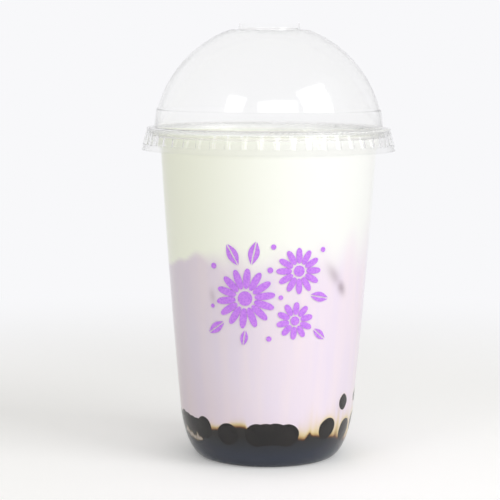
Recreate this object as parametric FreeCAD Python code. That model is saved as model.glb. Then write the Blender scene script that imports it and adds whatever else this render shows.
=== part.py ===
import FreeCAD, Part
import math
import os
from FreeCAD import Vector

# A boba milkshake in a clear thin-walled cup under a clear dome lid, in millimetres.
# The cup stands on z = 0 with its axis on +Z. Its front looks along -Y, with +X to the right.

# Cup, outside sizes
cup_height = 129.3            # floor to the top of the rolled rim
rim_diameter = 94.2           # across the rolled rim
cup_wall = 0.5
curl_radius = 1.6             # round section of the rolled rim
curl_turn = 290.0             # degrees that the rim is rolled through
shoulder_inset = 3.2          # of the stacking shoulder, in from the edge of the rolled rim
shoulder_drop = 5.8           # of the shoulder, below the rim's top
wall_top_inset = 5.0          # of the top of the tapered wall, in from the edge of the rolled rim
wall_top_drop = 8.8
wall_foot_diameter = 68.8     # where the wall turns into the round corner
wall_foot_height = 20.7
wall_bow = 0.4                # how far the wall swells out of its straight taper
corner_fullness = 0.58        # 0.55 is an ellipse, more is squarer
foot_ring_diameter = 50.8     # outer edge of the ring that the cup stands on
foot_ring_width = 1.8
push_up = 3.0                 # height of the raised middle of the base
push_up_slope = 1.2           # how far its side leans in over that height

# Drink
headspace = 2.8               # from the top of the rim down to the drink
layer_height = 84.0           # mean height of the line between the cream and the milk
layer_tilt = 0.15             # rise of that line across the cup, towards +X
layer_dip = 5.0               # how far it sags at the front and the back
layer_ripple = 1.0            # height of its small waves
bed_depth = 11.5              # mean height of the syrup that the pearls lie in
bed_tilt = -0.03              # its slope, down towards +X
bed_ripple = 0.5
ripple_length = 40.0          # from one of the syrup's small waves to the next

# Tapioca pearls
pearl_radius = 4.5
pearl_spacing = 8.2           # from one pearl to the next in a ring
pearl_rise = 2.7              # centre of a heaped pearl above the syrup
pearl_jitter = 1.0            # how far a pearl lies above or below its neighbours
pearl_stray = 0.3             # how far it lies along its ring, as a share of the way to the next
pearl_unevenness = 0.05       # how much pearls differ in size, as a share
pearl_press = 1.8             # how far a pearl is flattened against the cup
heap_gap = (-76.0, 4.0)       # bearings between which no pearl is heaped, in degrees
# Pearls that lie loose against the cup: bearing in degrees, height, radius
loose_pearls = (
    (-48.5, 15.1, 4.5),
    (-31.5, 13.4, 4.2),
    (-12.5, 15.2, 4.6),
    (-32.5, 23.8, 4.3),
    (-12.0, 24.0, 3.8),
)

# Lid
lid_wall = 0.4
seat_clearance = 0.15         # between the lid's skirt and the rolled rim
brim_corner_radius = 0.8
dome_foot_inset = 2.4         # of the dome's foot, in from the edge of the rolled rim
dome_foot_round = 0.6
band_height = 7.0             # upright stacking band at the foot of the dome
band_draft = 0.9              # how far the band leans in over its height
band_step = 0.45              # ledge from the band in to the dome
dome_centre_drop = 3.9        # of the dome's centre below the rim's top
roof_diameter = 31.0          # flat top of the dome
roof_round = 5.0
collar_diameter = 23.8        # raised collar round the straw hole
collar_height = 2.4
collar_foot_round = 0.6
skirt_flare = 0.8             # growth in radius from the brim to the hem
flute_drop = 1.5              # from the top of the brim to the top of the flutes
flute_count = 50
flute_width = 2.8
flute_relief = 0.7            # at the foot of a flute, which fades out upwards
flute_fade = 0.08             # relief that is left at its top
flute_height = 5.0
hem_height = 2.4
lip_width = 0.4               # lip turned out at the foot of the hem

# Worked out from the sizes above
rim_radius = rim_diameter / 2
shoulder_radius = rim_radius - shoulder_inset
shoulder_height = cup_height - shoulder_drop
wall_top_radius = rim_radius - wall_top_inset
wall_top_height = cup_height - wall_top_drop
wall_foot_radius = wall_foot_diameter / 2
curl_centre_radius = rim_radius - curl_radius
curl_centre_height = cup_height - curl_radius
drink_level = cup_height - headspace
taper = math.atan2(wall_top_radius - wall_foot_radius, wall_top_height - wall_foot_height)
wall_chord = math.hypot(wall_top_radius - wall_foot_radius, wall_top_height - wall_foot_height)
foot_lean = taper + math.atan(4 * wall_bow / wall_chord)
outward = Vector(math.cos(taper), 0, -math.sin(taper))
brim_top = cup_height + lid_wall
skirt_radius = rim_radius + seat_clearance + lid_wall
flute_top = brim_top - flute_drop
flute_foot = flute_top - flute_height
dome_foot_radius = rim_radius - dome_foot_inset
dome_centre = cup_height - dome_centre_drop
dome_radius = math.hypot(dome_foot_radius - band_draft - band_step, brim_top + band_height - dome_centre)
roof_height = dome_centre + math.sqrt(dome_radius ** 2 - (roof_diameter / 2) ** 2)


def at(radius, height):
    """A point of a half section, drawn in the XZ plane."""
    return Vector(radius, 0, height)


def lines(*points):
    """Straight edges from each point to the next."""
    return [Part.makeLine(a, b) for a, b in zip(points, points[1:])]


def arc(centre, radius, start, end):
    """An arc of a half section, between two angles in degrees."""
    def spot(angle):
        turn = math.radians(angle)
        return centre + Vector(radius * math.cos(turn), 0, radius * math.sin(turn))
    return Part.Arc(spot(start), spot((start + end) / 2), spot(end)).toShape()


def curve(*poles):
    """A Bezier curve that leaves its first pole and meets its last along its control lines."""
    bezier = Part.BezierCurve()
    bezier.setPoles(list(poles))
    return bezier.toShape()


def revolved(edges):
    """A solid turned about the axis from the edges that bound its half section."""
    section = Part.Face(Part.Wire(Part.sortEdges(edges)[0]))
    return section.revolve(Vector(0, 0, 0), Vector(0, 0, 1), 360)


def save(shape, node):
    """Write one node as a clean solid."""
    solids = shape.Solids
    whole = solids[0] if len(solids) == 1 else Part.makeCompound(solids)
    whole.exportStep("parts/" + node + ".step")


# ---- Cup ---------------------------------------------------------------------------------

def body_outline(inset):
    """The cup's base, corner and tapered wall, moved inwards by a wall's thickness."""
    top = at(wall_top_radius, wall_top_height) - outward * inset
    foot = at(wall_foot_radius, wall_foot_height) - outward * inset
    wall = curve(top, (top + foot) / 2 + outward * 2 * wall_bow, foot)

    rest = at(foot_ring_diameter / 2, inset)
    turn = at(foot.x - (foot.z - inset) * math.tan(foot_lean), inset)
    corner = curve(foot, foot + (turn - foot) * corner_fullness,
                   rest + (turn - rest) * corner_fullness, rest)

    step_foot = foot_ring_diameter / 2 - foot_ring_width + inset
    base = lines(rest, at(step_foot, inset), at(step_foot - push_up_slope, push_up + inset),
                 at(0, push_up + inset))
    return [wall, corner] + base, top


def neck_points(inset):
    """The stacking shoulder and the neck up to the rolled rim."""
    shoulder = at(shoulder_radius - inset, shoulder_height)
    neck = at(curl_centre_radius - curl_radius + cup_wall - inset, curl_centre_height)
    return shoulder, neck


def rolled_rim():
    """The rim's curl: a strip of the cup's wall turned outwards about a circle."""
    centre = at(curl_centre_radius, curl_centre_height)
    end = 180 - curl_turn
    outer = arc(centre, curl_radius, 180, end)
    inner = arc(centre, curl_radius - cup_wall, 180, end)
    edge = lines(outer.Vertexes[-1].Point, inner.Vertexes[-1].Point)
    return [outer, inner] + edge


def make_cup():
    outside, outer_top = body_outline(0)
    inside, inner_top = body_outline(cup_wall)
    axis = lines(at(0, push_up), at(0, push_up + cup_wall))
    necks = lines(outer_top, *neck_points(0)) + lines(inner_top, *neck_points(cup_wall))
    return revolved(outside + inside + axis + necks + rolled_rim())


def make_cavity():
    """All that the cup holds, up to the middle of its rolled rim."""
    inside, top = body_outline(cup_wall)
    shoulder, neck = neck_points(cup_wall)
    closing = lines(top, shoulder, neck, at(0, neck.z), at(0, push_up + cup_wall))
    return revolved(inside + closing)


def cavity_radius(height):
    """Inner radius of the cup at a height on its corner or its wall."""
    edges, _ = body_outline(cup_wall)
    level = Part.makeLine(at(foot_ring_diameter / 4, height), at(rim_diameter, height))
    return max(edge.distToShape(level)[1][0][0].x for edge in edges[:2]
               if edge.distToShape(level)[0] < 0.001)


# ---- Drink -------------------------------------------------------------------------------

def layer_line(x, y):
    """Height of the uneven line between the cream and the milk."""
    across = x / rim_radius
    along = y / rim_radius
    sag = layer_dip * math.cos(math.pi * across) * along ** 2
    return layer_height + layer_tilt * x - sag + layer_ripple * math.sin(5 * across + 4 * along)


def syrup_line(x, y):
    """Height of the dark syrup that the pearls lie in."""
    return bed_depth + bed_tilt * x + bed_ripple * math.sin(2 * math.pi * (x + y) / ripple_length)


def below(height_at):
    """All that lies under a wavy surface, as a block wider than the cup."""
    stops = 13
    places = [rim_radius * (2 * i / (stops - 1) - 1) for i in range(stops)]
    surface = Part.BSplineSurface()
    surface.interpolate([[Vector(x, y, height_at(x, y)) for y in places] for x in places])
    return surface.toShape().extrude(Vector(0, 0, -cup_height))


def by_size(shape):
    """The solids of a shape, the largest first. Small ones are pockets that pearls close off."""
    return sorted(shape.Solids, key=lambda solid: -solid.Volume)


# ---- Pearls ------------------------------------------------------------------------------

def shuffle(number):
    """A repeatable value from -1 to 1 that looks random."""
    value = math.sin(12.9898 * number + 4.1) * 437.585
    return 2 * (value - math.floor(value)) - 1


def in_gap(bearing):
    """Whether a bearing lies where the heap is left low."""
    return heap_gap[0] < (bearing + 180) % 360 - 180 < heap_gap[1]


def pearl_at(place, radius):
    """A whole pearl, with its seam towards the axis and away from the cup's wall."""
    pearl = Part.makeSphere(radius)
    pearl.rotate(Vector(0, 0, 0), Vector(0, 0, 1), math.degrees(math.atan2(-place.y, -place.x)))
    pearl.translate(place)
    return pearl


def heap_places():
    """Centres of the heaped pearls, ring by ring from the cup's wall to its axis."""
    places = []
    seat = cavity_radius(bed_depth + pearl_rise)
    ring_radius = seat - pearl_radius + pearl_press
    while ring_radius > pearl_spacing / 3:
        count = int(2 * math.pi * ring_radius / pearl_spacing)
        for i in range(count):
            bearing = 360 * (i + pearl_stray * shuffle(i + ring_radius)) / count
            if in_gap(bearing):
                continue
            x = ring_radius * math.cos(math.radians(bearing))
            y = ring_radius * math.sin(math.radians(bearing))
            z = syrup_line(x, y) + pearl_rise + pearl_jitter * shuffle(len(places))
            places.append(Vector(x, y, z))
        ring_radius -= pearl_spacing
    return places


def make_pearl_bed(cavity):
    """The heap of pearls in its syrup, out to its uneven outline."""
    syrup = cavity.common(below(syrup_line))
    pearls = [pearl_at(place, pearl_radius * (1 + pearl_unevenness * shuffle(i)))
              for i, place in enumerate(heap_places())]
    return syrup.multiFuse(pearls).common(cavity)


def make_loose_pearl(bearing, height, radius, cavity):
    """A pearl in the milk, pressed flat where it touches the cup."""
    reach = cavity_radius(height) - radius + pearl_press
    turn = math.radians(bearing)
    place = Vector(reach * math.cos(turn), reach * math.sin(turn), height)
    return pearl_at(place, radius).common(cavity)


# ---- Lid ---------------------------------------------------------------------------------

def dome_corners(inset):
    """Where the lid's upper section turns, moved inwards by the lid's wall: the foot and the top
    of the band, the foot and the top of the dome, and the foot of the collar."""
    radius = dome_radius - inset
    roof = roof_height - inset
    foot = at(dome_foot_radius - inset, brim_top - inset)
    band_top = foot + Vector(-band_draft, 0, band_height)
    dome_foot = at(math.sqrt(radius ** 2 - (band_top.z - dome_centre) ** 2), band_top.z)
    dome_top = at(math.sqrt(radius ** 2 - (roof - dome_centre) ** 2), roof)
    return foot, band_top, dome_foot, dome_top, at(collar_diameter / 2 - inset, roof)


def dome_outline(inset):
    """Band, dome, flat roof and collar, up to the collar's edge."""
    foot, band_top, dome_foot, dome_top, collar = dome_corners(inset)
    centre = at(0, dome_centre)
    low, high = (math.degrees(math.atan2(end.z - dome_centre, end.x)) for end in (dome_foot, dome_top))
    edges = lines(foot, band_top, dome_foot) + [arc(centre, dome_radius - inset, low, high)]
    return edges + lines(dome_top, collar, at(collar.x, roof_height + collar_height))


def brim_outline(inset):
    """The brim from the dome's foot over its round corner to the top of the flutes."""
    radius = brim_corner_radius - inset
    centre = at(skirt_radius - brim_corner_radius, brim_top - brim_corner_radius)
    corner = arc(centre, radius, 90, 0)
    top, side = (vertex.Point for vertex in corner.Vertexes)
    edges = lines(dome_corners(inset)[0], top) + [corner]
    return edges + lines(side, at(skirt_radius - inset, flute_top))


def rounded(shape, place, radius):
    """Round the ring edge of a turned shape that passes through a place of its half section."""
    spot = Part.Vertex(place)
    rings = [edge for edge in shape.Edges if edge.isClosed() and edge.distToShape(spot)[0] < 0.001]
    return shape.makeFillet(radius, rings)


def make_dome_and_brim():
    """The turned part of the lid, from the straw hole to the top of the flutes."""
    mouth = collar_diameter / 2
    mouth_top = roof_height + collar_height
    ends = lines(at(mouth, mouth_top), at(mouth - lid_wall, mouth_top))
    ends += lines(at(skirt_radius, flute_top), at(skirt_radius - lid_wall, flute_top))
    dome = revolved(dome_outline(0) + dome_outline(lid_wall) + brim_outline(0) + brim_outline(lid_wall) + ends)

    foot, _, _, dome_top, collar = dome_corners(0)
    inner_foot, _, _, inner_dome_top, inner_collar = dome_corners(lid_wall)
    for place, radius in ((foot, dome_foot_round), (inner_foot, dome_foot_round + lid_wall),
                          (dome_top, roof_round), (inner_dome_top, roof_round - lid_wall),
                          (collar, collar_foot_round), (inner_collar, collar_foot_round + lid_wall)):
        dome = rounded(dome, place, radius)
    return dome


def fluted_ring(radius, relief, height):
    """A ring of plain arcs with a round flute standing out between each two."""
    pitch = 2 * math.pi / flute_count
    half = flute_width / 2 / skirt_radius
    edges = []
    for i in range(flute_count):
        middle = i * pitch
        left, right = middle - half, middle + half
        edges.append(ring_arc(radius, left, radius + relief, middle, radius, right, height))
        edges.append(ring_arc(radius, right, radius, middle + pitch / 2, radius, left + pitch, height))
    return Part.Wire(edges)


def ring_arc(r1, a1, r2, a2, r3, a3, height):
    """A level arc through three points given by radius and bearing."""
    spots = [Vector(r * math.cos(a), r * math.sin(a), height) for r, a in ((r1, a1), (r2, a2), (r3, a3))]
    return Part.Arc(*spots).toShape()


def fluted_band():
    """The skirt's fluted wall, a loft between two rings with its hollow lofted alike."""
    def loft(inset):
        upper = fluted_ring(skirt_radius - inset, flute_fade, flute_top)
        lower = fluted_ring(skirt_radius + skirt_flare - inset, flute_relief, flute_foot)
        return Part.makeLoft([upper, lower], True, True)
    return loft(0).cut(loft(lid_wall))


def make_hem():
    """The plain hem under the flutes, with its shelf and its turned-out lip."""
    shelf = skirt_radius + skirt_flare - lid_wall
    outer = skirt_radius + skirt_flare + flute_relief
    lip = outer + lip_width
    foot = flute_foot - hem_height
    return revolved(lines(
        at(shelf, flute_foot), at(outer, flute_foot), at(outer, foot + lid_wall), at(lip, foot + lid_wall),
        at(lip, foot), at(outer - lid_wall, foot), at(outer - lid_wall, flute_foot - lid_wall),
        at(shelf, flute_foot - lid_wall), at(shelf, flute_foot)))


def make_lid():
    return make_dome_and_brim().fuse([fluted_band(), make_hem()]).removeSplitter()


# ---- Nodes -------------------------------------------------------------------------------

def main():
    os.makedirs("parts", exist_ok=True)
    save(make_cup(), "cup")
    save(make_lid(), "dome_lid")

    cavity = make_cavity()
    drink = cavity.common(Part.makeCylinder(rim_radius, drink_level))
    milk_block = below(layer_line)
    save(drink.cut(milk_block), "cream_layer")

    heap = make_pearl_bed(cavity)
    loose = []
    for number, pearl in enumerate(loose_pearls, 1):
        loose.append(make_loose_pearl(*pearl, cavity).cut([heap] + loose))
        save(loose[-1], "loose_pearl_" + str(number))

    milk, *pockets = by_size(drink.common(milk_block).cut([heap] + loose))
    save(milk, "taro_milk_layer")
    save(heap.fuse(pockets) if pockets else heap, "pearl_bed")


main()
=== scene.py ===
"""Looks of a boba milkshake in a clear cup under a dome lid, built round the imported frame.

Sizes are in metres, apart from those that are said to be in millimetres, with +Z up and the
printed front looking along -Y. Bearings are in degrees about the cup's axis, 0 along +X and -90
at the front. The drink runs just into the cup's wall, so that no air shows between them.
"""

import bisect
import logging
import math
import random
from collections.abc import Callable
from dataclasses import dataclass
from enum import Enum
from functools import lru_cache

import bmesh
import bpy
from mathutils import Euler, Matrix, Vector, noise

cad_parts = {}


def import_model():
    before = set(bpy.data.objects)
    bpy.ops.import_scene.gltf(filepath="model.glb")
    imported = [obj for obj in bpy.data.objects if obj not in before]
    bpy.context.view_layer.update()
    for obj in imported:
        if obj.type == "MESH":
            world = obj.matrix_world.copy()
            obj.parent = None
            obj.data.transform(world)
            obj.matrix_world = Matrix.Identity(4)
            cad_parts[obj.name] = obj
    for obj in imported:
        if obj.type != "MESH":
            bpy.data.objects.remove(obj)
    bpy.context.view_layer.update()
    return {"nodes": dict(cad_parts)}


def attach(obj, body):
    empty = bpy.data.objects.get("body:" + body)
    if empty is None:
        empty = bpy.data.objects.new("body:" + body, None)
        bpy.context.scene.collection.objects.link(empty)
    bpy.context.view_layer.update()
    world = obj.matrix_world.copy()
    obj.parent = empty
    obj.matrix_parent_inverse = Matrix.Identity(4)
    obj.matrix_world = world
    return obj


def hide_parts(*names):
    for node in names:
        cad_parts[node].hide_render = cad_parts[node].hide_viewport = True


# Short names for types
Piece = bpy.types.Object
Tree = bpy.types.NodeTree
Socket = bpy.types.NodeSocket
Pair = tuple[float, float]
Colour = tuple[float, float, float]
Scale = tuple[float, float, float]
Value = Socket | Colour | float

LOG = logging.getLogger("boba_milkshake")
MM = 0.001
BODY = "root"
FRONT = -90.0
WHITE = (1.0, 1.0, 1.0)


# ---- Modelling helpers -------------------------------------------------------------------

def deselect_all() -> None:
    """Leave edit mode and let go of every object, since operators act on all that is selected."""
    if bpy.context.object and bpy.context.object.mode != "OBJECT":
        bpy.ops.object.mode_set(mode="OBJECT")
    bpy.ops.object.select_all(action="DESELECT")


def take(piece: Piece) -> None:
    """Make one object the only selected and active one.

    Args:
        piece: The object.
    """
    deselect_all()
    piece.select_set(True)
    bpy.context.view_layer.objects.active = piece


def settle(piece: Piece) -> None:
    """Put a piece's place, turn and scale into its mesh, so that it sits at the origin."""
    take(piece)
    bpy.ops.object.transform_apply(location=True, rotation=True, scale=True)


def smooth(piece: Piece, degrees: float = 40.0) -> None:
    """Shade a piece smooth, apart from edges sharper than an angle."""
    take(piece)
    bpy.ops.object.shade_smooth_by_angle(angle=math.radians(degrees))


def dress(piece: Piece, material: bpy.types.Material) -> None:
    """Give a piece one material."""
    piece.data.materials.clear()
    piece.data.materials.append(material)


def hand_over(piece: Piece, finish: bpy.types.Material, slot: str, *nodes: str) -> None:
    """Dress a finished piece, enter it in the frame and report it.

    Args:
        piece: The piece.
        finish: Its material.
        slot: The record's material slot for the piece; not used.
        nodes: The nodes that it replaces, if any.
    """
    dress(piece, finish)
    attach(piece, BODY)
    if nodes:
        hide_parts(*nodes)
    LOG.info("%s: %d faces", piece.name, len(piece.data.polygons))


def copied(piece: Piece, name: str) -> Piece:
    """A copy of a piece under a new name, with its own mesh.

    Args:
        piece: What is copied.
        name: The copy's name.

    Returns:
        The copy.
    """
    twin = piece.copy()
    twin.data = piece.data.copy()
    twin.name = name
    bpy.context.scene.collection.objects.link(twin)
    return twin


def joined(pieces: list[Piece], name: str) -> Piece:
    """Several pieces as one.

    Args:
        pieces: What is joined. The first takes in the rest.
        name: The new piece's name.

    Returns:
        The joined piece.
    """
    take(pieces[0])
    for piece in pieces[1:]:
        piece.select_set(True)
    bpy.ops.object.join()
    pieces[0].name = name
    return pieces[0]


def remove(piece: Piece) -> None:
    """Take a piece that was only a start out of the scene."""
    bpy.data.objects.remove(piece, do_unlink=True)


def cut(piece: Piece, spot: Vector, upward: Vector, keep_below: bool = False, shut: bool = True) -> Piece:
    """Cut a piece by a plane.

    Args:
        piece: What is cut.
        spot: A place on the plane.
        upward: The plane's upward direction.
        keep_below: Whether the part below the plane is kept, or the part above it.
        shut: Whether the cut is shut by a face.

    Returns:
        The same piece.
    """
    take(piece)
    bpy.ops.object.mode_set(mode="EDIT")
    bpy.ops.mesh.select_all(action="SELECT")
    bpy.ops.mesh.bisect(plane_co=spot, plane_no=upward, use_fill=shut, clear_outer=keep_below,
                        clear_inner=not keep_below)
    bpy.ops.object.mode_set(mode="OBJECT")
    return piece


def blend(low: float, high: float, value: float) -> float:
    """Share from 0 to 1, with soft ends, of the way that a value lies from low to high."""
    share = min(max((value - low) / (high - low), 0.0), 1.0)
    return share * share * (3 - 2 * share)


def along(stops: tuple[tuple[float, ...], ...], place: float) -> list[float]:
    """Values at a place between stops, with soft steps from one to the next.

    Args:
        stops: Each a place and its values, in rising order of place.
        place: Where the values are wanted.

    Returns:
        The values there.
    """
    for low, high in zip(stops, stops[1:]):
        if place <= high[0]:
            share = blend(low[0], high[0], place)
            return [a + (b - a) * share for a, b in zip(low[1:], high[1:])]
    return list(stops[-1][1:])


def bearing_of(spot: Vector) -> float:
    """Bearing of a spot about the cup's axis, from -180 to 180 degrees."""
    return math.degrees(math.atan2(spot.y, spot.x))


def turned(name: str, outline: list[tuple[float, float]], segments: int) -> Piece:
    """Pull a circle along an outline, ring by ring, into a round solid with shut ends.

    Args:
        name: The piece's name.
        outline: Radius and height of each ring, where a last radius of 0 ends it in a pole.
        segments: How many sides each ring has.

    Returns:
        The piece, with its faces pointing outwards.
    """
    deselect_all()
    radius, height = outline[0]
    bpy.ops.mesh.primitive_circle_add(vertices=segments, radius=radius, fill_type="TRIFAN",
                                      location=(0, 0, height))
    piece = bpy.context.active_object
    piece.name = name
    settle(piece)
    bpy.ops.object.mode_set(mode="EDIT")
    select_rim(piece)
    for next_radius, next_height in outline[1:]:
        bpy.ops.mesh.extrude_edges_move(TRANSFORM_OT_translate={"value": (0, 0, next_height - height)})
        if next_radius <= 0:
            bpy.ops.mesh.merge(type="CENTER")
            break
        ratio = next_radius / radius
        bpy.ops.transform.resize(value=(ratio, ratio, 1), center_override=(0, 0, next_height))
        radius, height = next_radius, next_height
    bpy.ops.mesh.select_all(action="SELECT")
    bpy.ops.mesh.normals_make_consistent(inside=False)
    bpy.ops.object.mode_set(mode="OBJECT")
    return piece


def select_rim(piece: Piece) -> None:
    """Select the open edges of the mesh that is being edited.

    Args:
        piece: The piece, in edit mode.
    """
    bpy.ops.mesh.select_all(action="DESELECT")
    mesh = bmesh.from_edit_mesh(piece.data)
    for edge in mesh.edges:
        if edge.is_boundary:
            edge.select_set(True)
    bmesh.update_edit_mesh(piece.data)


def blot(half_length: float, half_width: float, start: Pair, turn: float, reach: float = 0.0,
         point: float = 0.0, sides: int = 32, cuts: int = 2) -> Piece:
    """A flat round or pointed blot in X and Y.

    Args:
        half_length: Half of its length.
        half_width: Half of its width.
        start: Where the line that it lies along starts.
        turn: Which way that line runs, in degrees.
        reach: How far along the line the blot's middle lies.
        point: The share of its width that it loses at its ends, where less than 0 widens them.
        sides: How many sides its edge starts with.
        cuts: How often each of its edges is cut.

    Returns:
        The blot.
    """
    deselect_all()
    bpy.ops.mesh.primitive_circle_add(vertices=sides, radius=1.0, fill_type="TRIFAN")
    piece = bpy.context.active_object
    bpy.ops.object.mode_set(mode="EDIT")
    bpy.ops.mesh.select_all(action="SELECT")
    bpy.ops.mesh.subdivide(number_cuts=cuts)
    bpy.ops.object.mode_set(mode="OBJECT")
    angle = math.radians(turn)
    for vert in piece.data.vertices:
        waist = 1 - point * vert.co.x ** 2
        x = vert.co.x * half_length + reach
        y = vert.co.y * half_width * waist
        vert.co = Vector((start[0] + x * math.cos(angle) - y * math.sin(angle),
                          start[1] + x * math.sin(angle) + y * math.cos(angle), 0))
    return piece


def filmed(piece: Piece, thickness: float) -> None:
    """Give a flat piece a thickness, inwards from its face.

    Args:
        piece: The flat piece.
        thickness: How thick it becomes.
    """
    take(piece)
    film = piece.modifiers.new("film", "SOLIDIFY")
    film.thickness = thickness
    film.offset = -1
    bpy.ops.object.modifier_apply(modifier="film")
    smooth(piece)


def paint(piece: Piece, attribute: str, value_at: Callable[[Vector], float]) -> None:
    """Store a value on every vertex of a piece.

    Args:
        piece: The piece.
        attribute: The name that its material reads.
        value_at: A function from a vertex's place to its value.
    """
    values = [value_at(vert.co) for vert in piece.data.vertices]
    layer = piece.data.attributes.new(attribute, "FLOAT", "POINT")
    layer.data.foreach_set("value", values)


# ---- Finishes ----------------------------------------------------------------------------

def new_material(name: str) -> tuple[bpy.types.Material, bpy.types.Node, bpy.types.Node]:
    """Start a node material.

    Args:
        name: The material's name.

    Returns:
        The material, its Principled shader and its output node.
    """
    material = bpy.data.materials.new(name)
    material.use_nodes = True
    nodes = material.node_tree.nodes
    return material, nodes["Principled BSDF"], nodes["Material Output"]


def feed(tree: Tree, socket: Socket, value: Value) -> None:
    """Link another socket to an input, or give it a colour, a vector or a number.

    Args:
        tree: The nodes that the input is among.
        socket: The input.
        value: What it is fed.
    """
    if isinstance(value, Socket):
        tree.links.new(value, socket)
    elif socket.type == "RGBA":
        socket.default_value = (*value, 1)
    else:
        socket.default_value = value


def feed_all(tree: Tree, node: bpy.types.Node, values: dict[str, Value]) -> None:
    """Feed several inputs of a node, each by its name."""
    for name, value in values.items():
        feed(tree, node.inputs[name], value)


def add_ramp(tree: Tree, place: Socket, start: float, end: float, first: Value = 0.0,
             last: Value = 1.0, soft: bool = False) -> Socket:
    """Place a change from one value to another in a material.

    Args:
        tree: The material's nodes.
        place: The socket that says how far along the change a spot lies.
        start: Where on it the change starts.
        end: Where it ends, which may be less.
        first: The value before the change.
        last: The value past it.
        soft: Whether the change has soft ends.

    Returns:
        The socket that puts the value out.
    """
    ramp = tree.nodes.new("ShaderNodeMapRange")
    if soft:
        ramp.interpolation_type = "SMOOTHSTEP"
    feed_all(tree, ramp, {"Value": place, "From Min": start, "From Max": end, "To Min": first,
                          "To Max": last})
    return ramp.outputs[0]


def add_math(tree: Tree, operation: str, first: Value, second: Value, clamp: bool = False) -> Socket:
    """Place a calculation with two values in a material.

    Args:
        tree: The material's nodes.
        operation: What is worked out.
        first: A socket or a number.
        second: A socket or a number.
        clamp: Whether the answer is kept from 0 to 1.

    Returns:
        The socket that puts the answer out.
    """
    answer = tree.nodes.new("ShaderNodeMath")
    answer.operation = operation
    answer.use_clamp = clamp
    feed(tree, answer.inputs[0], first)
    feed(tree, answer.inputs[1], second)
    return answer.outputs[0]


def mottle_group(detail: float = 4.0, thin: float = 0.35, thick: float = 0.65) -> Tree:
    """Soft cloudy variation, drawn out along an axis, as a node group that finishes share.

    Args:
        detail: How fine the cloud's detail is.
        thin: The cloud's level that counts as its thin parts.
        thick: The level that counts as its thick parts.

    Returns:
        The group. It takes the place, a scale for each axis and the values wanted at the
        cloud's thin and thick parts, and puts out a value.
    """
    if "mottle" in bpy.data.node_groups:
        return bpy.data.node_groups["mottle"]
    group = bpy.data.node_groups.new("mottle", "ShaderNodeTree")
    for name, kind, default in (("Place", "NodeSocketVector", None), ("Scale", "NodeSocketVector", None),
                                ("Low", "NodeSocketFloat", 0.0), ("High", "NodeSocketFloat", 1.0)):
        socket = group.interface.new_socket(name=name, in_out="INPUT", socket_type=kind)
        if default is not None:
            socket.default_value = default
    group.interface.new_socket(name="Value", in_out="OUTPUT", socket_type="NodeSocketFloat")
    inlet = group.nodes.new("NodeGroupInput")
    outlet = group.nodes.new("NodeGroupOutput")
    stretch = group.nodes.new("ShaderNodeVectorMath")
    stretch.operation = "MULTIPLY"
    feed(group, stretch.inputs[0], inlet.outputs["Place"])
    feed(group, stretch.inputs[1], inlet.outputs["Scale"])
    cloud = group.nodes.new("ShaderNodeTexNoise")
    feed_all(group, cloud, {"Vector": stretch.outputs[0], "Scale": 1.0, "Detail": detail})
    value = add_ramp(group, cloud.outputs["Fac"], thin, thick, inlet.outputs["Low"], inlet.outputs["High"])
    feed(group, outlet.inputs["Value"], value)
    return group


def add_mottle(tree: Tree, scale: Scale, low: float = 0.0, high: float = 1.0) -> Socket:
    """Place the shared variation in a material.

    Args:
        tree: The material's nodes.
        scale: How often the cloud repeats in a metre, along each axis.
        low: The value at its thin parts.
        high: The value at its thick parts.

    Returns:
        The socket that puts the value out.
    """
    place = tree.nodes.new("ShaderNodeTexCoord")
    group = tree.nodes.new("ShaderNodeGroup")
    group.node_tree = mottle_group()
    feed_all(tree, group, {"Place": place.outputs["Object"], "Scale": scale, "Low": low, "High": high})
    return group.outputs["Value"]


def add_bump(tree: Tree, scale: Scale, strength: float, height: float) -> Socket:
    """Place a relief made of the shared variation in a material.

    Args:
        tree: The material's nodes.
        scale: How often the relief repeats in a metre, along each axis.
        strength: How much of it shows.
        height: How far it rises.

    Returns:
        The socket of the normal.
    """
    bump = tree.nodes.new("ShaderNodeBump")
    feed_all(tree, bump, {"Strength": strength, "Distance": height, "Height": add_mottle(tree, scale)})
    return bump.outputs[0]


def add_mix(tree: Tree, share: Value, first: Value, second: Value, way: str = "MIX") -> Socket:
    """Place a colour mix in a material.

    Args:
        tree: The material's nodes.
        share: A socket or a number that says how much of the second colour shows.
        first: A socket or a colour.
        second: A socket or a colour.
        way: How the second colour goes over the first.

    Returns:
        The socket that puts the colour out.
    """
    mix = tree.nodes.new("ShaderNodeMix")
    mix.data_type = "RGBA"
    mix.blend_type = way
    sockets = (next(s for s in mix.inputs if s.name == "Factor" and s.type == "VALUE"),
               *(s for s in mix.inputs if s.type == "RGBA"))
    for socket, value in zip(sockets, (share, first, second)):
        feed(tree, socket, value)
    return next(s for s in mix.outputs if s.type == "RGBA")


def add_stops(tree: Tree, share: Socket, start: float, colour: Value,
              stops: tuple[tuple[float, Colour], ...]) -> Socket:
    """Place a run of colours in a material, each of which turns into the next.

    Args:
        tree: The material's nodes.
        share: The socket that says how far along the run a spot lies.
        start: How far along it the first colour holds.
        colour: The first colour.
        stops: How far along each of the next colours is reached, and that colour.

    Returns:
        The socket that puts the colour out.
    """
    for level, next_colour in stops:
        colour = add_mix(tree, add_ramp(tree, share, start, level), colour, next_colour)
        start = level
    return colour


def mix_shaders(tree: Tree, output: bpy.types.Node, share: Socket, first: bpy.types.Node,
                second: bpy.types.Node) -> None:
    """Put two shaders out as a material's surface.

    Args:
        tree: The material's nodes.
        output: The output node.
        share: The socket that says how much of the second shader shows.
        first: A shader.
        second: A shader.
    """
    mix = tree.nodes.new("ShaderNodeMixShader")
    for socket, value in zip(mix.inputs, (share, first.outputs[0], second.outputs[0])):
        feed(tree, socket, value)
    feed(tree, output.inputs["Surface"], mix.outputs[0])


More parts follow.
